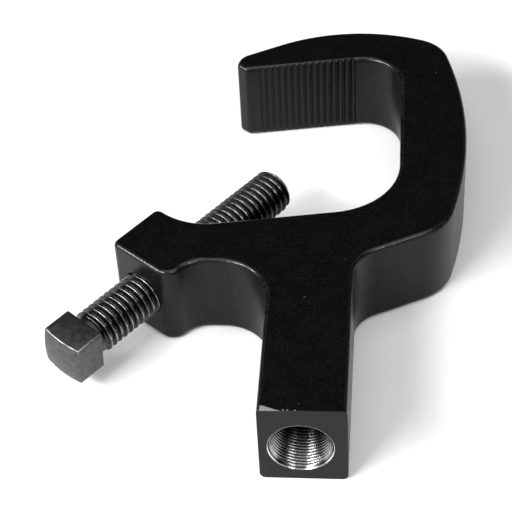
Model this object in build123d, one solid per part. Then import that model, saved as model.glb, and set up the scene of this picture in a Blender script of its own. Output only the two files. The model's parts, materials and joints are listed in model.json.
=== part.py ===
from build123d import *
import os
from math import cos, radians, sin, sqrt, tan

# Pipe clamp for stage rigging: a one-piece machined aluminium hook with a square-head clamping screw.
# Millimetres. The origin is the centre of the tapped hole's mouth, on the stem's end face.
# +Y runs up the stem towards the hook, +X towards the hook's back, +Z out of the front face.
# Threads are plain cylinders at their major radius. The tapped hole is a little off the stem's centre, so
# everything is modelled about the body's mid-plane and moved onto the hole's axis when it is written.

# Body stock
THICKNESS = 25.4
FRONT_EDGE_RADIUS = 1.3
BACK_EDGE_RADIUS = 1.8
STEM_WIDTH = 22.0
STEM_OFFSET = 0.55

# Arms and throat: both gripping faces slope at the same angle and stand GAP apart
ARM_SLOPE = 9.1
THROAT_FLOOR_Y = 69.8
THROAT_GAP = 63.4
THROAT_BACK_X = 22.85
FLOOR_CORNER_RADIUS = 20.0
JAW_CORNER_RADIUS = 11.0
JAW_TIP_X = -22.2
ARM_UNDERSIDE_Y = 50.8
SHOULDER_SLOPE = 26.8
SHOULDER_Y = 52.9

# Outside of the hook: the back is one long arc and the top another
BACK_ARC_CENTRE = (-88.0, 102.4)
BACK_ARC_RADIUS = 129.2
TOP_ARC_CENTRE = (11.35, 96.7)
TOP_ARC_RADIUS = 52.0
NOSE_X = -24.8
NOSE_Y = 136.4

# Serrated pad of the upper jaw
GROOVE_COUNT = 15
GROOVE_PITCH = 1.9
GROOVE_RADIUS = 0.85
GROOVE_DEPTH_AT_TIP = 0.5
GROOVE_DEPTH_AT_BACK = 0.8
LAST_GROOVE_DEPTH = 0.85
FIRST_GROOVE_X = -17.6

# Screw boss, square to the screw axis and a little wider on the stem's side
SCREW_ANGLE = 52.1
SCREW_AXIS_OFFSET = 66.4
BOSS_OUTER_HALF = 10.1
BOSS_INNER_HALF = 10.8
BOSS_START = 12.8
BOSS_END = 30.4
BORE_CLEARANCE = 0.05
BORE_END = 45.0
BORE_CHAMFER = 0.3

# Tapped hole in the stem, 5/8 inch by 27 threads per inch, set back from the body's mid-plane
STEM_HOLE_SETBACK = 1.05
STEM_HOLE_RADIUS = 7.94
STEM_HOLE_DEPTH = 23.4
STEM_HOLE_CHAMFER = 0.36
STEM_HOLE_CHAMFER_DEPTH = 0.4
DRILL_HALF_ANGLE = 59.0

# Square-head set screw, 1/2 inch by 13 threads per inch, nominally 3 inches long under the head
SCREW_RADIUS = 6.25
SCREW_LENGTH = 74.6
SCREW_HEAD_SEAT = -8.15
SCREW_POINT_CHAMFER = 1.3
NECK_RADIUS = 5.4
NECK_LENGTH = 2.2
HEAD_WIDTH = 12.5
HEAD_HEIGHT = 9.4
HEAD_CROWN_RADIUS = 31.75
HEAD_TURN = 3.5

# Corner radii of the outline
STEM_RIGHT_RADIUS = 9.5
STEM_LEFT_RADIUS = 13.0
BACK_CORNER_RADIUS = 14.0
TOP_CORNER_RADIUS = 11.5
NOSE_RADIUS = 5.0
TIP_RADIUS = 1.4
BOSS_FLOOR_RADIUS = 18.0
BOSS_CORNER_RADIUS = 2.0
BOSS_LOW_RADIUS = 4.3
BOSS_ROOT_RADIUS = 8.5

# How far cutters and the blank run past the finished faces
RUN_OUT = 4.0

screw_direction = Vector(cos(radians(SCREW_ANGLE)), sin(radians(SCREW_ANGLE)), 0)
screw_side = Vector(-sin(radians(SCREW_ANGLE)), cos(radians(SCREW_ANGLE)), 0)


def on_screw_axis(along, across=0.0):
    """A point given along the screw axis and across it, both measured in the body's mid-plane."""
    return screw_direction * along + screw_side * (SCREW_AXIS_OFFSET + across)


def tangent_of(degrees_up):
    return tan(radians(degrees_up))


def floor_y(x):
    return THROAT_FLOOR_Y + tangent_of(ARM_SLOPE) * x


def jaw_y(x):
    return floor_y(x) + THROAT_GAP / cos(radians(ARM_SLOPE))


def shoulder_meets_back():
    """Where the straight shoulder, rising from the stem, reaches the hook's back arc."""
    m, x = tangent_of(SHOULDER_SLOPE), STEM_OFFSET + STEM_WIDTH / 2
    dx, dy = x - BACK_ARC_CENTRE[0], SHOULDER_Y - BACK_ARC_CENTRE[1]
    a, b, c = 1 + m * m, dx + m * dy, dx * dx + dy * dy - BACK_ARC_RADIUS**2
    step = (-b + sqrt(b * b - a * c)) / a
    return x + step, SHOULDER_Y + m * step


def nose_meets_top():
    """The point of the top arc where a straight line from the nose corner is tangent to it."""
    centre, nose = Vector(*TOP_ARC_CENTRE), Vector(NOSE_X, NOSE_Y)
    reach = nose - centre
    back = TOP_ARC_RADIUS**2 / reach.length
    side = TOP_ARC_RADIUS * sqrt(1 - (TOP_ARC_RADIUS / reach.length) ** 2)
    u = reach.normalized()
    point = centre + u * back + Vector(u.Y, -u.X) * side
    return point.X, point.Y


def back_meets_top():
    """The upper crossing of the hook's back arc and top arc."""
    first, second = Vector(*BACK_ARC_CENTRE), Vector(*TOP_ARC_CENTRE)
    gap = second - first
    along = (BACK_ARC_RADIUS**2 - TOP_ARC_RADIUS**2 + gap.length**2) / (2 * gap.length)
    rise = sqrt(BACK_ARC_RADIUS**2 - along**2)
    u = gap.normalized()
    point = first + u * along + Vector(-u.Y, u.X) * rise
    return point.X, point.Y


def floor_meets_boss():
    """Where the throat floor runs into the inner end face of the screw boss."""
    face = on_screw_axis(BOSS_END)
    slope = screw_side.Y / screw_side.X
    x = (face.Y - slope * face.X - THROAT_FLOOR_Y) / (tangent_of(ARM_SLOPE) - slope)
    return x, floor_y(x)


def rounded_plate():
    """The body's outline as a plate with its upright corners rounded, its stem running past the mouth."""
    left, right = STEM_OFFSET - STEM_WIDTH / 2, STEM_OFFSET + STEM_WIDTH / 2
    tip_rise = (JAW_TIP_X - NOSE_X) * -screw_side.Y / screw_side.X
    boss_top = on_screw_axis(BOSS_END, BOSS_OUTER_HALF)
    boss_left = on_screw_axis(BOSS_START, BOSS_OUTER_HALF)
    boss_low = on_screw_axis(BOSS_START, -BOSS_INNER_HALF)
    side_run = (ARM_UNDERSIDE_Y - boss_low.Y) / screw_direction.Y
    boss_root = boss_low + screw_direction * side_run
    # each corner, anticlockwise from the stem's lower right, with the radius that rounds it
    corners = [
        ((right, -RUN_OUT), 0),
        ((right, SHOULDER_Y), STEM_RIGHT_RADIUS),
        (shoulder_meets_back(), BACK_CORNER_RADIUS),
        (back_meets_top(), TOP_CORNER_RADIUS),
        (nose_meets_top(), 0),
        ((NOSE_X, NOSE_Y), NOSE_RADIUS),
        ((NOSE_X, jaw_y(JAW_TIP_X) + tip_rise), TIP_RADIUS),
        ((JAW_TIP_X, jaw_y(JAW_TIP_X)), TIP_RADIUS),
        ((THROAT_BACK_X, jaw_y(THROAT_BACK_X)), JAW_CORNER_RADIUS),
        ((THROAT_BACK_X, floor_y(THROAT_BACK_X)), FLOOR_CORNER_RADIUS),
        (floor_meets_boss(), BOSS_FLOOR_RADIUS),
        ((boss_top.X, boss_top.Y), BOSS_CORNER_RADIUS),
        ((boss_left.X, boss_left.Y), BOSS_CORNER_RADIUS),
        ((boss_low.X, boss_low.Y), BOSS_LOW_RADIUS),
        ((boss_root.X, boss_root.Y), BOSS_ROOT_RADIUS),
        ((left, ARM_UNDERSIDE_Y), STEM_LEFT_RADIUS),
        ((left, -RUN_OUT), 0),
    ]
    # the two sides that are arcs, by the corner they start from
    arcs = {2: (BACK_ARC_CENTRE, BACK_ARC_RADIUS), 3: (TOP_ARC_CENTRE, TOP_ARC_RADIUS)}
    points = [Vector(*point) for point, _ in corners]
    sides = []
    for i, (start, end) in enumerate(zip(points, points[1:] + points[:1])):
        if i in arcs:
            centre, radius = Vector(*arcs[i][0]), arcs[i][1]
            bulge = ((start + end) / 2 - centre).normalized() * radius
            sides.append(ThreePointArc(start, centre + bulge, end))
        else:
            sides.append(Line(start, end))
    plate = extrude(make_face(Curve(sides)), THICKNESS / 2, both=True)
    for (x, y), radius in corners:
        if radius:
            upright = plate.edges().filter_by(Axis.Z).sort_by_distance((x, y, 0))[0]
            plate = fillet(upright, radius)
    return plate


def cutter(radius, start, end, direction):
    """A solid cylinder from start to end along direction."""
    plane = Plane(origin=start, z_dir=direction)
    length = (end - start).length
    return plane * Cylinder(radius, length, align=(Align.CENTER, Align.CENTER, Align.MIN))


def chamfer_cone(mouth, direction, radius, width, depth):
    """A cone that opens a hole's mouth by width over depth; direction points into the hole."""
    plane = Plane(origin=mouth - direction * depth, z_dir=direction)
    cone = Cone(radius + 2 * width, radius, 2 * depth, align=(Align.CENTER, Align.CENTER, Align.MIN))
    return plane * cone


def serrations():
    """Round-bottomed grooves across the upper jaw, deeper towards the hook's back."""
    slope = Vector(cos(radians(ARM_SLOPE)), sin(radians(ARM_SLOPE)), 0)
    normal = Vector(-slope.Y, slope.X, 0)
    first = Vector(FIRST_GROOVE_X, jaw_y(FIRST_GROOVE_X))
    grooves = []
    for i in range(GROOVE_COUNT):
        share = i / (GROOVE_COUNT - 1)
        depth = GROOVE_DEPTH_AT_TIP + share * (GROOVE_DEPTH_AT_BACK - GROOVE_DEPTH_AT_TIP)
        if i == GROOVE_COUNT - 1:
            depth = LAST_GROOVE_DEPTH
        centre = first + slope * (i * GROOVE_PITCH) - normal * (GROOVE_RADIUS - depth)
        grooves.append(Pos(centre.X, centre.Y, 0) * Cylinder(GROOVE_RADIUS, THICKNESS + RUN_OUT))
    return grooves


def clamp_body():
    blank = rounded_plate()
    front_rim = blank.edges().filter_by_position(Axis.Z, THICKNESS / 2, THICKNESS / 2)
    body = fillet(front_rim, FRONT_EDGE_RADIUS)
    back_rim = body.edges().filter_by_position(Axis.Z, -THICKNESS / 2, -THICKNESS / 2)
    body = fillet(back_rim, BACK_EDGE_RADIUS)
    body -= Pos(0, -RUN_OUT, 0) * Box(2 * STEM_WIDTH, 2 * RUN_OUT, 2 * THICKNESS)
    body -= serrations()

    bore_start, bore_end = on_screw_axis(BOSS_START - RUN_OUT), on_screw_axis(BORE_END)
    bore_radius = SCREW_RADIUS + BORE_CLEARANCE
    body -= cutter(bore_radius, bore_start, bore_end, screw_direction)
    boss_mouth = on_screw_axis(BOSS_START)
    body -= chamfer_cone(boss_mouth, screw_direction, bore_radius, BORE_CHAMFER, BORE_CHAMFER)

    up, mouth = Vector(0, 1, 0), Vector(0, 0, -STEM_HOLE_SETBACK)
    body -= cutter(STEM_HOLE_RADIUS, mouth - up * RUN_OUT, mouth + up * STEM_HOLE_DEPTH, up)
    drill_tip = STEM_HOLE_RADIUS / tangent_of(DRILL_HALF_ANGLE)
    drill = Cone(STEM_HOLE_RADIUS, 0, drill_tip, align=(Align.CENTER, Align.CENTER, Align.MIN))
    body -= Plane(origin=mouth + up * STEM_HOLE_DEPTH, z_dir=up) * drill
    body -= chamfer_cone(mouth, up, STEM_HOLE_RADIUS, STEM_HOLE_CHAMFER, STEM_HOLE_CHAMFER_DEPTH)
    return body


def clamp_screw():
    """Made upright with its head's underside at zero and its point upwards, then laid on the screw axis."""
    bottom = (Align.CENTER, Align.CENTER, Align.MIN)
    top = (Align.CENTER, Align.CENTER, Align.MAX)
    thread = Cylinder(SCREW_RADIUS, SCREW_LENGTH, align=bottom)
    thread = chamfer(thread.edges().sort_by(Axis.Z)[-1], SCREW_POINT_CHAMFER)
    around_neck = Cylinder(2 * SCREW_RADIUS, NECK_LENGTH, align=bottom)
    around_neck -= Cylinder(NECK_RADIUS, NECK_LENGTH, align=bottom)
    head = Box(HEAD_WIDTH, HEAD_WIDTH, HEAD_HEIGHT, align=top)
    head &= Pos(0, 0, HEAD_CROWN_RADIUS - HEAD_HEIGHT) * Sphere(HEAD_CROWN_RADIUS)
    screw = (thread - around_neck) + Rot(0, 0, HEAD_TURN) * head
    flat = Plane(origin=on_screw_axis(SCREW_HEAD_SEAT), x_dir=(0, 0, 1), z_dir=screw_direction)
    return flat * screw


nodes = {"clamp_body": clamp_body(), "clamp_screw": clamp_screw()}
onto_hole_axis = Pos(0, 0, STEM_HOLE_SETBACK)

os.makedirs("parts", exist_ok=True)
for name, shape in nodes.items():
    export_step(onto_hole_axis * shape, f"parts/{name}.step")
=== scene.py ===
import bmesh
import bpy
import json
from math import ceil, cos, floor, pi, radians, sin, sqrt
from mathutils import Matrix, Quaternion, Vector


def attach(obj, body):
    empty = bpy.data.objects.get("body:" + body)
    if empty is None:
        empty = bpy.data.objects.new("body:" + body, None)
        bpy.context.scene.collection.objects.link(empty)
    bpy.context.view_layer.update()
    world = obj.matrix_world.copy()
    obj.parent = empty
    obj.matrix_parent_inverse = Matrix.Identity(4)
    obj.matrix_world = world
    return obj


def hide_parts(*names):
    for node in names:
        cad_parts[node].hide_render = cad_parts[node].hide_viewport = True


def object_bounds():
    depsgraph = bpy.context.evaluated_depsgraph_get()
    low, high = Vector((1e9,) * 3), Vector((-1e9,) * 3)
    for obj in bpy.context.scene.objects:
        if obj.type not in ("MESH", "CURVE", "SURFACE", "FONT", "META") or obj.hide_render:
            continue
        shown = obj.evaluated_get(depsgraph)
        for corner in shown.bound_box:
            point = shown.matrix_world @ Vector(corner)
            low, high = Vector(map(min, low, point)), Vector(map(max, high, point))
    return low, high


# Looks for a one-piece stage pipe clamp and its square-head screw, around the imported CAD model.
# Metres, in the CAD frame: the origin is the stem hole's mouth, +Y up the stem and +Z out of the front.

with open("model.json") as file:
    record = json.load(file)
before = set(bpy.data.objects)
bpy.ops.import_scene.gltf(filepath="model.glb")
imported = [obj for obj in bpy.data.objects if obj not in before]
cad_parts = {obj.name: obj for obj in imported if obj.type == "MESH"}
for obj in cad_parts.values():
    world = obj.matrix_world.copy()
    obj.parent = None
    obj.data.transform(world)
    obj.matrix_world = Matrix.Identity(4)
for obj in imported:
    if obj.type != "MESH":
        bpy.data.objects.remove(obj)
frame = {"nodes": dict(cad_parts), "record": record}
cad_low, cad_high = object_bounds()
MM = 0.001

# Camera, aimed at a point in the body's mid-plane
AIM = Vector((-15.36, 65.78, 1.05)) * MM
CAMERA_DISTANCE = 493.7 * MM
CAMERA_AZIMUTH = 6.33
CAMERA_ELEVATION = 44.0
CAMERA_ROLL = -3.5
CAMERA_LENS = 128.8
CAMERA_SENSOR = 36.0

# Clamping screw, 1/2 inch by 13 threads per inch
SCREW_PITCH = 25.4 / 13 * MM
SCREW_CREST = 6.24 * MM
SCREW_ROOT = 5.05 * MM
SCREW_LENGTH = 74.6 * MM
NECK_RADIUS = 5.3 * MM
NECK_LENGTH = 1.5 * MM
NECK_FADE = 1.0 * MM
NECK_SUNK = 1.0 * MM
POINT_RADIUS = 4.95 * MM

# Its finish: where along it the head's finish gives way to the thread's, and the radii of the rubbed crests
THREAD_STARTS = (1.2 * MM, 2.2 * MM)
CREST_RUB = (SCREW_CREST - 0.1 * MM, SCREW_CREST - 0.01 * MM)

# Its square domed head
HEAD_HALF = 6.25 * MM
HEAD_HEIGHT = 9.4 * MM
HEAD_CROWN_RADIUS = 31.75 * MM
HEAD_CORNER_RADIUS = 0.6 * MM
HEAD_EDGE_RADIUS = 0.25 * MM
HEAD_TURN = 3.5
SIDE_STEPS = 10
CORNER_STEPS = 4
EDGE_STEPS = 3
CROWN_SHARES = (0.85, 0.68, 0.5, 0.32, 0.15)

# Where the head is rubbed: out from its crown's centre, out from its axis twice, and up Z from the origin
CROWN_RUB = (HEAD_CROWN_RADIUS - 0.32 * MM, HEAD_CROWN_RADIUS - 0.12 * MM)
SIDE_RUB = (HEAD_HALF - 0.35 * MM, HEAD_HALF - 0.12 * MM)
CORNER_RUB = (HEAD_HALF - 0.6 * MM, HEAD_HALF - 0.25 * MM)
UPPER_RUB = (5.5 * MM, 7.2 * MM)

# Tapped hole in the stem, 5/8 inch by 27 threads per inch
STEM_PITCH = 25.4 / 27 * MM
STEM_CREST = 7.43 * MM
STEM_ROOT = 7.9 * MM
STEM_SLEEVE = 7.93 * MM
STEM_THREAD_END = 23.3 * MM
MOUTH_RADIUS = 8.26 * MM
MOUTH_DEPTH = 0.38 * MM
SLEEVE_WALL = 0.02 * MM

# Its finish: the depths over which painted shade darkens it, the radii of the thread's roots that are
# painted in shade, and the depths of the bright mouth
PAINTED_SHADE_DEPTHS = (0.5 * MM, 12.0 * MM)
PAINTED_SHADE_ROOT_RADII = (STEM_CREST + 0.08 * MM, STEM_ROOT - 0.08 * MM)
BRIGHT_MOUTH = (0.12 * MM, 0.25 * MM)

# Where the body's metal is bare: inside the stem's hole, to past the drill's point
BARE_RADIUS = 8.31 * MM
DRILLED_DEPTH = 32.0 * MM

# Where the stem end's front edge is scuffed: a smear that tapers from the left corner, then specks along X
FRONT_Z = 13.75 * MM
SMEAR_START = -10.0 * MM
SMEAR_TAPERED = -4.7 * MM
SMEAR_REACH = (1.5 * MM, 0.1 * MM)
SMEAR_RAGGED = 0.5 * MM
SMEAR_FADE_X = (-5.2 * MM, -4.4 * MM)
SMEAR_FADE_Y = (0.05 * MM, 0.4 * MM)
SMEAR_FADE_Z = (FRONT_Z - 0.4 * MM, FRONT_Z - 0.15 * MM)
SPECK_PLACES = (-3.9 * MM, -2.9 * MM, -1.0 * MM)
SPECK_Y = 0.15 * MM
SPECK_RADIUS = 0.11 * MM

# Thread profile: flats as shares of the pitch, and the places within a pitch where the mesh has a row
NARROW_FLAT = 0.125
WIDE_FLAT = 0.25
PROFILE_ROWS = (0.0, 0.09, 0.16, 0.28, 0.405, 0.46, 0.5, 0.54, 0.595, 0.72, 0.84, 0.91)
AROUND = 144
WELD = 1e-7


def mount(name):
    return next(m for m in frame["record"]["mounts"] if m["name"] == name)


def smoothstep(low, high, value):
    share = min(1.0, max(0.0, (value - low) / (high - low)))
    return share * share * (3 - 2 * share)


# ---------- mesh helpers ----------


def finished_object(name, bm, place, sharp_angle):
    """Welds and smooths a bmesh and makes it an object, put in the row frame by the matrix place."""
    bmesh.ops.remove_doubles(bm, verts=bm.verts, dist=WELD)
    bmesh.ops.dissolve_degenerate(bm, edges=bm.edges, dist=WELD)
    bmesh.ops.recalc_face_normals(bm, faces=bm.faces)
    bm.transform(place)
    mesh = bpy.data.meshes.new(name)
    bm.to_mesh(mesh)
    bm.free()
    mesh.shade_smooth()
    mesh.set_sharp_from_angle(angle=radians(sharp_angle))
    piece = bpy.data.objects.new(name, mesh)
    bpy.context.scene.collection.objects.link(piece)
    return piece


def bridge(bm, ring, other):
    for i in range(len(ring)):
        j = (i + 1) % len(ring)
        bm.faces.new((ring[i], ring[j], other[j], other[i]))


def fan(bm, ring, z):
    tip = bm.verts.new((0, 0, z))
    for i in range(len(ring)):
        bm.faces.new((ring[i], ring[(i + 1) % len(ring)], tip))


def circle(bm, radius, z):
    angles = [2 * pi * i / AROUND for i in range(AROUND)]
    return [bm.verts.new((radius * cos(a), radius * sin(a), z)) for a in angles]


def thread_height(turns, crest_flat, root_flat):
    """Height of a V thread, from 0 at the root to 1 at the crest, at a place given in turns."""
    off_crest = abs(turns % 1.0 - 0.5)
    flank = 0.5 - (crest_flat + root_flat) / 2
    return 1 - min(1.0, max(0.0, (off_crest - crest_flat / 2) / flank))


def helical_wall(bm, pitch, start, end, radius_at):
    """A right-hand threaded wall from start to end on local Z, its rows following the helix.

    radius_at takes the place along the thread's profile in turns, and the height.
    Returns the rings of vertices at the two ends."""
    first = floor(start / pitch) - 2
    turns = ceil(end / pitch) + 2 - first
    rows = [first + turn + row for turn in range(turns) for row in PROFILE_ROWS]
    columns = []
    for i in range(AROUND):
        lead = i / AROUND
        column = []
        for row in rows:
            z = min(end, max(start, (row + lead) * pitch))
            radius = radius_at(z / pitch - lead, z)
            column.append(bm.verts.new((radius * cos(2 * pi * lead), radius * sin(2 * pi * lead), z)))
        columns.append(column)
    for i in range(AROUND):
        here, there = columns[i], columns[(i + 1) % AROUND]
        # after a whole turn the helix has climbed one pitch
        climbed = len(PROFILE_ROWS) if i == AROUND - 1 else 0
        for j in range(len(rows) - 1 - climbed):
            bm.faces.new((here[j], there[j + climbed], there[j + climbed + 1], here[j + 1]))
    return [column[0] for column in columns], [column[-1] for column in columns]


# ---------- clamping screw ----------

drive = mount("screw_head_drive")
screw_axis = -Vector(drive["axis"]).normalized()
screw_seat = Vector(drive["pos_m"]) + screw_axis * HEAD_HEIGHT
screw_x = Vector((0, 0, 1))
screw_y = screw_axis.cross(screw_x)
screw_place = Matrix((screw_x, screw_y, screw_axis)).transposed().to_4x4()
screw_place.translation = screw_seat


def screw_radius(turns, z):
    thread = SCREW_ROOT + (SCREW_CREST - SCREW_ROOT) * thread_height(turns, NARROW_FLAT, WIDE_FLAT)
    grown = smoothstep(NECK_LENGTH, NECK_LENGTH + NECK_FADE, z)
    return min(NECK_RADIUS + (thread - NECK_RADIUS) * grown, POINT_RADIUS + SCREW_LENGTH - z)


def make_screw_shank():
    bm = bmesh.new()
    sunk, point = helical_wall(bm, SCREW_PITCH, -NECK_SUNK, SCREW_LENGTH, screw_radius)
    fan(bm, sunk, -NECK_SUNK)
    fan(bm, point, SCREW_LENGTH)
    return finished_object("screw_thread", bm, screw_place, 75)


def crown_z(x, y):
    return HEAD_CROWN_RADIUS - HEAD_HEIGHT - sqrt(HEAD_CROWN_RADIUS**2 - x * x - y * y)


def rounded_square():
    """Points of the head's outline, each with the direction that an inset moves it in."""
    points = []
    reach = HEAD_HALF - HEAD_CORNER_RADIUS
    for quarter in range(4):
        turn = Matrix.Rotation(quarter * pi / 2, 2)
        for i in range(SIDE_STEPS):
            along = -reach + 2 * reach * i / SIDE_STEPS
            points.append((turn @ Vector((HEAD_HALF, along)), turn @ Vector((-1, 0))))
        for i in range(CORNER_STEPS):
            angle = pi / 2 * i / CORNER_STEPS
            out = Vector((cos(angle), sin(angle)))
            corner = Vector((reach, reach)) + out * HEAD_CORNER_RADIUS
            points.append((turn @ corner, turn @ -out))
    return points


def make_screw_head():
    """The head from its seat at zero down to the domed crown, with softened edges."""
    bm = bmesh.new()
    outline = rounded_square()

    def ring(inset, height_of, share=1.0):
        flat = [(point + inward * inset) * share for point, inward in outline]
        return [bm.verts.new((p.x, p.y, height_of(p.x, p.y))) for p in flat]

    rings = []
    for i in range(EDGE_STEPS + 1):
        angle = pi / 2 * i / EDGE_STEPS
        inset, drop = HEAD_EDGE_RADIUS * (1 - sin(angle)), HEAD_EDGE_RADIUS * (1 - cos(angle))
        rings.append(ring(inset, lambda x, y: -drop))
    for i in range(EDGE_STEPS + 1):
        angle = pi / 2 * i / EDGE_STEPS
        inset, lift = HEAD_EDGE_RADIUS * (1 - cos(angle)), HEAD_EDGE_RADIUS * (1 - sin(angle))
        rings.append(ring(inset, lambda x, y: crown_z(x, y) + lift))
    for share in CROWN_SHARES:
        rings.append(ring(HEAD_EDGE_RADIUS, crown_z, share))
    for one, other in zip(rings, rings[1:]):
        bridge(bm, one, other)
    fan(bm, rings[0], 0)
    fan(bm, rings[-1], -HEAD_HEIGHT)
    turned = Matrix.Rotation(radians(HEAD_TURN), 4, "Z")
    return finished_object("screw_head", bm, screw_place @ turned, 60)


# ---------- stem thread ----------

stem_mount = mount("stem_thread")
stem_mouth = Vector(stem_mount["pos_m"])
stem_axis = -Vector(stem_mount["axis"]).normalized()
stem_x = Vector((1, 0, 0))
stem_place = Matrix((stem_x, stem_axis.cross(stem_x), stem_axis)).transposed().to_4x4()
stem_place.translation = stem_mouth


def mouth_radius(z):
    return MOUTH_RADIUS - (MOUTH_RADIUS - STEM_SLEEVE) * z / MOUTH_DEPTH


def stem_radius(turns, z):
    height = thread_height(turns, WIDE_FLAT, NARROW_FLAT)
    return max(STEM_ROOT - (STEM_ROOT - STEM_CREST) * height, mouth_radius(z))


def make_stem_thread():
    """A thin sleeve that lines the stem's hole with its bare cut thread."""
    bm = bmesh.new()
    mouth, bottom = helical_wall(bm, STEM_PITCH, 0, STEM_THREAD_END, stem_radius)
    skin = [mouth]
    skin.append(circle(bm, MOUTH_RADIUS + SLEEVE_WALL, 0))
    skin.append(circle(bm, STEM_SLEEVE, MOUTH_DEPTH))
    skin.append(circle(bm, STEM_SLEEVE, STEM_THREAD_END))
    skin.append(bottom)
    for ring, other in zip(skin, skin[1:]):
        bridge(bm, ring, other)
    return finished_object("stem_thread_lining", bm, stem_place, 75)


# ---------- materials ----------

# Grey levels of the surfaces; a pair is the darkest and the lightest of a mottled one
ANODISED = (0.0014, 0.0026)
ANODISED_GRAIN = 0.008
CUTTER_LINES = 0.007
DUST = 0.09
SCUFFED = 0.2
RUBBED_RIM = 0.04
DRILLED = 0.5
OXIDE_HEAD = (0.068, 0.11)
# the thread's grey is darker than the head's: painted shade for the valleys between its turns
SHADED_THREAD_OXIDE = 0.05
RUBBED_STEEL = 0.45
CUT_THREAD = (0.42, 0.54)


class Nodes:
    """Short calls for building one node tree."""

    def __init__(self, tree):
        self.tree = tree

    def node(self, kind, output=0, settings=None, **inputs):
        made = self.tree.nodes.new(kind)
        for name, value in (settings or {}).items():
            setattr(made, name, value)
        for name, value in inputs.items():
            key = int(name[1:]) if name[0] == "_" else name.replace("_", " ")
            self.put(made.inputs[key], value)
        return made.outputs[output]

    def put(self, socket, value):
        if isinstance(value, bpy.types.NodeSocket):
            self.tree.links.new(value, socket)
        else:
            socket.default_value = value

    def math(self, operation, first, second=0.0):
        return self.node("ShaderNodeMath", settings={"operation": operation}, _0=first, _1=second)

    def noise(self, where, scale, detail=2.0):
        return self.node("ShaderNodeTexNoise", Vector=where, Scale=scale, Detail=detail)

    def stretched(self, where, scale):
        return self.node("ShaderNodeMapping", Vector=where, Scale=scale)

    def ramp(self, value, low, high, to_low=0.0, to_high=1.0):
        """value from low to high, spread smoothly over to_low to to_high."""
        made = self.tree.nodes.new("ShaderNodeMapRange")
        made.interpolation_type = "SMOOTHSTEP"
        names = ("Value", "From Min", "From Max", "To Min", "To Max")
        for name, put in zip(names, (value, low, high, to_low, to_high)):
            self.put(made.inputs[name], put)
        return made.outputs[0]

    def vector(self, operation, first, second=(0.0, 0.0, 0.0), output=0):
        settings = {"operation": operation}
        return self.node("ShaderNodeVectorMath", output=output, settings=settings, _0=first, _1=second)

    def axis(self, vector, letter):
        return self.node("ShaderNodeSeparateXYZ", output=letter, Vector=vector)

    def mix(self, share, first, second):
        made = self.tree.nodes.new("ShaderNodeMix")
        made.data_type = "RGBA"
        for key, put in (("Factor_Float", share), ("A_Color", first), ("B_Color", second)):
            self.put(next(s for s in made.inputs if s.identifier == key), put)
        return next(s for s in made.outputs if s.identifier == "Result_Color")


def grey(level, warmth=0.0):
    return (level * (1 + warmth), level, level * (1 - warmth), 1.0)


def shaded(name, build):
    """A material whose build function fills a node tree around one Principled shader."""
    material = bpy.data.materials.new(name)
    material.use_nodes = True
    shader = material.node_tree.nodes["Principled BSDF"]
    nodes = Nodes(material.node_tree)
    coordinate = material.node_tree.nodes.new("ShaderNodeTexCoord")
    build(nodes, shader, coordinate.outputs["Object"], coordinate.outputs["Normal"])
    return material


def axis_distance(nodes, where, point, direction):
    """Distance of a place from the line through point along direction."""
    offset = nodes.vector("SUBTRACT", where, tuple(point))
    return nodes.vector("LENGTH", nodes.vector("CROSS_PRODUCT", offset, tuple(direction)), output="Value")


def worn_edge(nodes, where):
    """Where the stem end's front edge is knocked bare: a tapering smear, and a few specks beside it."""
    x, y, z = (nodes.axis(where, letter) for letter in "XYZ")
    reach = nodes.ramp(x, SMEAR_START, SMEAR_TAPERED, *SMEAR_REACH)
    ragged = nodes.math("MULTIPLY", nodes.noise(where, 1500.0, 3.0), SMEAR_RAGGED)
    beyond = nodes.math("ADD", nodes.math("SUBTRACT", y, reach), ragged)
    smear = nodes.ramp(beyond, *SMEAR_FADE_Y, 1.0, 0.0)
    smear = nodes.math("MULTIPLY", smear, nodes.ramp(x, *SMEAR_FADE_X, 1.0, 0.0))
    smear = nodes.math("MULTIPLY", smear, nodes.ramp(z, *SMEAR_FADE_Z))
    for place in SPECK_PLACES:
        off = nodes.vector("DISTANCE", where, (place, SPECK_Y, FRONT_Z), output="Value")
        speck = nodes.ramp(off, SPECK_RADIUS, 2 * SPECK_RADIUS, 1.0, 0.0)
        smear = nodes.math("MAXIMUM", smear, speck)
    return smear


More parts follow.
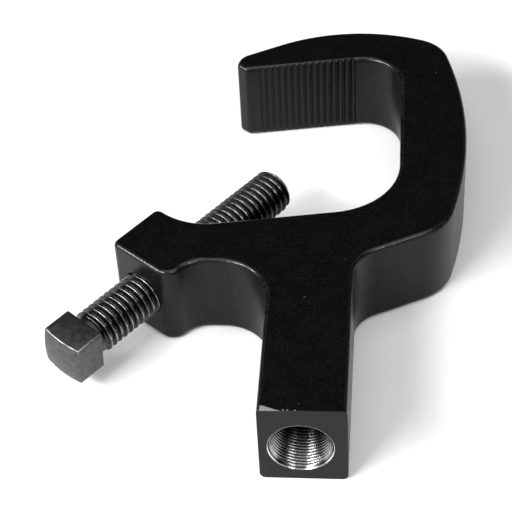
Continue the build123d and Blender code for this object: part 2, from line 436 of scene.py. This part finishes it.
def black_anodised(nodes, shader, where, normal):
    """Satin black with a fine grain, cutter lines on the walls, dust, and rims rubbed to a shine."""
    tilt = nodes.math("ABSOLUTE", nodes.axis(normal, "Z"))
    on_wall = nodes.ramp(tilt, 0.35, 0.75, 1.0, 0.0)
    grain = nodes.noise(where, 2600.0, 3.0)
    blotch = nodes.noise(where, 160.0, 3.0)
    lines = nodes.noise(nodes.stretched(where, (1.0, 1.0, 0.12)), 1500.0, 3.0)
    wall_lines = nodes.math("MULTIPLY", lines, on_wall)

    cell = nodes.node("ShaderNodeTexVoronoi", Vector=where, Scale=300.0)
    chance = nodes.node("ShaderNodeTexVoronoi", output="Color", Vector=where, Scale=300.0)
    picked = nodes.ramp(nodes.axis(chance, "X"), 0.74, 0.78)
    dust = nodes.math("MULTIPLY", nodes.ramp(cell, 0.04, 0.085, 1.0, 0.0), picked)

    black = nodes.mix(nodes.ramp(blotch, 0.35, 0.7), *map(grey, ANODISED))
    black = nodes.mix(nodes.ramp(grain, 0.45, 0.75), black, grey(ANODISED_GRAIN))
    black = nodes.mix(nodes.ramp(wall_lines, 0.45, 0.75), black, grey(CUTTER_LINES))
    marked = nodes.mix(nodes.math("MULTIPLY", dust, 0.5), black, grey(DUST))
    tone = nodes.math("ADD", nodes.math("MULTIPLY", grain, 0.1), nodes.math("MULTIPLY", wall_lines, 0.14))
    rough = nodes.math("ADD", nodes.math("ADD", tone, 0.19), nodes.math("MULTIPLY", dust, 0.2))
    nodes.put(shader.inputs["Roughness"], rough)
    shader.inputs["Specular IOR Level"].default_value = 0.2
    height = nodes.math("ADD", nodes.math("MULTIPLY", grain, 0.5), wall_lines)
    bump = nodes.node("ShaderNodeBump", Strength=0.6, Distance=0.012 * MM, Height=height)
    nodes.put(shader.inputs["Normal"], bump)

    # the metal is bare and bright inside the stem's hole, and scuffed dull at the knocked edge
    radius = axis_distance(nodes, where, stem_mouth, stem_axis)
    shallow = nodes.math("LESS_THAN", nodes.axis(where, "Y"), DRILLED_DEPTH)
    in_hole = nodes.math("MULTIPLY", nodes.math("LESS_THAN", radius, BARE_RADIUS), shallow)
    scuffed = nodes.mix(worn_edge(nodes, where), marked, grey(SCUFFED))
    # handling has rubbed the rounded rims to a slightly metallic shine, broken up by the cutter's chatter
    on_rim = nodes.math("MULTIPLY", nodes.ramp(tilt, 0.2, 0.4), nodes.ramp(tilt, 0.9, 0.98, 1.0, 0.0))
    rubbed = nodes.math("MULTIPLY", on_rim, nodes.ramp(nodes.noise(where, 1300.0), 0.35, 0.6, 0.35, 1.0))
    polished = nodes.mix(rubbed, scuffed, grey(RUBBED_RIM))
    nodes.put(shader.inputs["Metallic"], nodes.math("MAXIMUM", in_hole, rubbed))
    nodes.put(shader.inputs["Base Color"], nodes.mix(in_hole, polished, grey(DRILLED)))


def head_wear(nodes, where):
    """Rubbed edges of the screw's head: the rim of its crown and the corners between its sides."""
    turned = (screw_place @ Matrix.Rotation(radians(HEAD_TURN), 4, "Z")).to_3x3()
    off = nodes.vector("SUBTRACT", where, tuple(screw_seat))
    across = [nodes.vector("DOT_PRODUCT", off, tuple(turned.col[i]), output="Value") for i in (0, 1)]
    one, other = (nodes.math("ABSOLUTE", value) for value in across)
    outer, inner = nodes.math("MAXIMUM", one, other), nodes.math("MINIMUM", one, other)
    crown_centre = screw_seat + screw_axis * (HEAD_CROWN_RADIUS - HEAD_HEIGHT)
    reach = nodes.vector("DISTANCE", where, tuple(crown_centre), output="Value")
    on_crown = nodes.ramp(reach, *CROWN_RUB)
    rim = nodes.math("MULTIPLY", on_crown, nodes.ramp(outer, *SIDE_RUB))
    corner = nodes.ramp(inner, *CORNER_RUB)
    patchy = nodes.ramp(nodes.noise(where, 900.0), 0.35, 0.6, 0.15, 1.0)
    # the head has been knocked from above more than from below
    upper = nodes.ramp(nodes.axis(where, "Z"), *UPPER_RUB, 0.08, 0.75)
    edges = nodes.math("MAXIMUM", rim, corner)
    return nodes.math("MULTIPLY", nodes.math("MULTIPLY", edges, patchy), upper)


def black_oxide(nodes, shader, where, normal):
    """Oiled black-oxide steel, mottled, with its thread painted darker than the head as shade between the
    turns, and rubbed bright on the thread's crests and the head's edges.
    """
    mottle = nodes.noise(where, 700.0, 5.0)
    grain = nodes.noise(where, 3600.0, 3.0)
    radius = axis_distance(nodes, where, screw_seat, screw_axis)
    off_seat = nodes.vector("SUBTRACT", where, tuple(screw_seat))
    along = nodes.vector("DOT_PRODUCT", off_seat, tuple(screw_axis), output="Value")
    on_thread = nodes.ramp(along, *THREAD_STARTS)
    on_head = nodes.math("SUBTRACT", 1.0, on_thread)
    patchy = nodes.ramp(nodes.noise(where, 700.0), 0.35, 0.6, 0.2, 1.0)
    at_crest = nodes.ramp(radius, *CREST_RUB)
    worn = nodes.math("MULTIPLY", at_crest, on_thread)
    worn = nodes.math("MULTIPLY", worn, patchy)
    rubbed = nodes.math("MAXIMUM", worn, nodes.math("MULTIPLY", head_wear(nodes, where), on_head))
    darkest, lightest = OXIDE_HEAD
    head_tone = nodes.mix(nodes.ramp(mottle, 0.3, 0.7), grey(darkest, 0.01), grey(lightest, 0.02))
    # painted shade: the thread gets a darker grey than the head, for the shade in its valleys
    thread_tone = nodes.mix(on_thread, head_tone, grey(SHADED_THREAD_OXIDE, 0.02))
    nodes.put(shader.inputs["Base Color"], nodes.mix(rubbed, thread_tone, grey(RUBBED_STEEL)))
    shader.inputs["Metallic"].default_value = 1.0
    rough = nodes.math("ADD", nodes.math("MULTIPLY", grain, 0.1), nodes.ramp(mottle, 0.3, 0.7, 0.4, 0.44))
    smoother = nodes.math("SUBTRACT", rough, nodes.math("MULTIPLY", on_thread, 0.2))
    nodes.put(shader.inputs["Roughness"], smoother)
    bump = nodes.node("ShaderNodeBump", Strength=0.5, Distance=0.014 * MM, Height=grain)
    nodes.put(shader.inputs["Normal"], bump)


def bare_aluminium(nodes, shader, where, normal):
    """Bright cut thread with fine tool lines round the hole, darkened with painted shade deeper down the
    hole and in the thread's roots.
    """
    radius = axis_distance(nodes, where, stem_mouth, stem_axis)
    depth = nodes.axis(where, "Y")
    spot = nodes.node("ShaderNodeCombineXYZ", X=radius, Y=depth, Z=0.0)
    rings = nodes.noise(spot, 9000.0, 2.0)
    smear = nodes.noise(where, 500.0, 2.0)
    # painted shade: the colour darkens down the hole, standing in for the light that reaches the deeper
    # turns less
    painted_depth_shade = nodes.ramp(depth, *PAINTED_SHADE_DEPTHS, 1.0, 0.16)
    # painted shade: the thread's roots are darkened in colour, where shade falls between the turns
    painted_root_shade = nodes.ramp(radius, *PAINTED_SHADE_ROOT_RADII, 1.0, 0.22)
    tone = nodes.math("MULTIPLY", nodes.ramp(smear, 0.3, 0.7, *CUT_THREAD), painted_depth_shade)
    tone = nodes.math("MULTIPLY", tone, painted_root_shade)
    tone = nodes.math("MAXIMUM", tone, nodes.ramp(depth, *BRIGHT_MOUTH, 0.9, 0.0))
    colour = nodes.node("ShaderNodeCombineColor", Red=tone, Green=tone, Blue=tone)
    nodes.put(shader.inputs["Base Color"], colour)
    shader.inputs["Metallic"].default_value = 1.0
    nodes.put(shader.inputs["Roughness"], nodes.math("ADD", nodes.math("MULTIPLY", rings, 0.08), 0.19))
    bump = nodes.node("ShaderNodeBump", Strength=0.1, Distance=0.002 * MM, Height=rings)
    nodes.put(shader.inputs["Normal"], bump)


def dress(piece, material):
    piece.data.materials.clear()
    piece.data.materials.append(material)


# ---------- studio ----------

FLOOR_HALF = 2.5
FLOOR_ALBEDO = 0.88
SURROUNDINGS = 0.03
BACKDROP = 0.85
SOFTBOX_DISTANCE = 0.9
OVERHEAD_HEIGHT = 1.3


def pale_floor(nodes, shader, where, normal):
    haze = nodes.noise(where, 3.0)
    nodes.put(shader.inputs["Base Color"], nodes.mix(haze, grey(FLOOR_ALBEDO), grey(FLOOR_ALBEDO * 0.985)))
    shader.inputs["Roughness"].default_value = 0.9
    shader.inputs["Specular IOR Level"].default_value = 0.1


def make_floor():
    bm = bmesh.new()
    bmesh.ops.create_grid(bm, x_segments=4, y_segments=4, size=FLOOR_HALF)
    mesh = bpy.data.meshes.new("floor")
    bm.to_mesh(mesh)
    bm.free()
    made = bpy.data.objects.new("floor", mesh)
    made.location = (0, 0, cad_low.z)
    bpy.context.scene.collection.objects.link(made)
    dress(made, shaded("pale_floor", pale_floor))


def softbox(name, direction, distance, width, height, watts):
    """An area light that shines on the clamp from direction."""
    data = bpy.data.lights.new(name, "AREA")
    data.shape = "RECTANGLE"
    data.size, data.size_y, data.energy = width, height, watts
    light = bpy.data.objects.new(name, data)
    towards = Vector(direction).normalized()
    light.location = AIM + towards * distance
    light.rotation_mode = "QUATERNION"
    light.rotation_quaternion = (-towards).to_track_quat("-Z", "Y")
    bpy.context.scene.collection.objects.link(light)


def make_lights():
    softbox("overhead", (0.1, -0.15, 1.0), OVERHEAD_HEIGHT, 1.3, 1.3, 10.0)
    softbox("key_left", (-0.55, -0.53, 0.65), SOFTBOX_DISTANCE, 0.5, 0.16, 9.0)
    softbox("rim_left", (-0.85, -0.2, 0.5), SOFTBOX_DISTANCE, 0.14, 0.3, 4.0)
    softbox("fill_right", (0.47, -0.55, 0.69), SOFTBOX_DISTANCE, 0.36, 0.14, 2.3)


def make_world():
    """Dim surroundings for reflections, and a pale backdrop where the camera looks past the floor."""
    world = bpy.data.worlds.new("studio")
    bpy.context.scene.world = world
    world.use_nodes = True
    tree = world.node_tree
    nodes = Nodes(tree)
    seen = nodes.node("ShaderNodeLightPath", output="Is Camera Ray")
    background = tree.nodes["Background"]
    nodes.put(background.inputs["Color"], nodes.mix(seen, grey(SURROUNDINGS), grey(BACKDROP)))


def make_camera():
    data = bpy.data.cameras.new("camera")
    data.lens = CAMERA_LENS
    data.sensor_width = CAMERA_SENSOR
    data.clip_start = 0.01
    camera = bpy.data.objects.new("camera", data)
    a, e = radians(CAMERA_AZIMUTH), radians(CAMERA_ELEVATION)
    back = Vector((sin(a) * cos(e), -cos(a) * cos(e), sin(e)))
    camera.location = AIM + back * CAMERA_DISTANCE
    camera.rotation_mode = "QUATERNION"
    roll = Quaternion((0, 0, 1), radians(CAMERA_ROLL))
    camera.rotation_quaternion = (-back).to_track_quat("-Z", "Y") @ roll
    bpy.context.scene.collection.objects.link(camera)
    bpy.context.scene.camera = camera


# ---------- the clamp ----------

make_camera()
make_floor()
make_lights()
make_world()
bpy.context.scene.view_settings.view_transform = "Standard"

body = frame["nodes"]["clamp_body"]
dress(body, shaded("black_anodised_aluminium", black_anodised))

steel = shaded("black_oxide_steel", black_oxide)
for piece in (make_screw_shank(), make_screw_head()):
    dress(piece, steel)
    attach(piece, "screw")
    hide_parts("clamp_screw")

lining = make_stem_thread()
dress(lining, shaded("bare_aluminium", bare_aluminium))
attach(lining, "body")
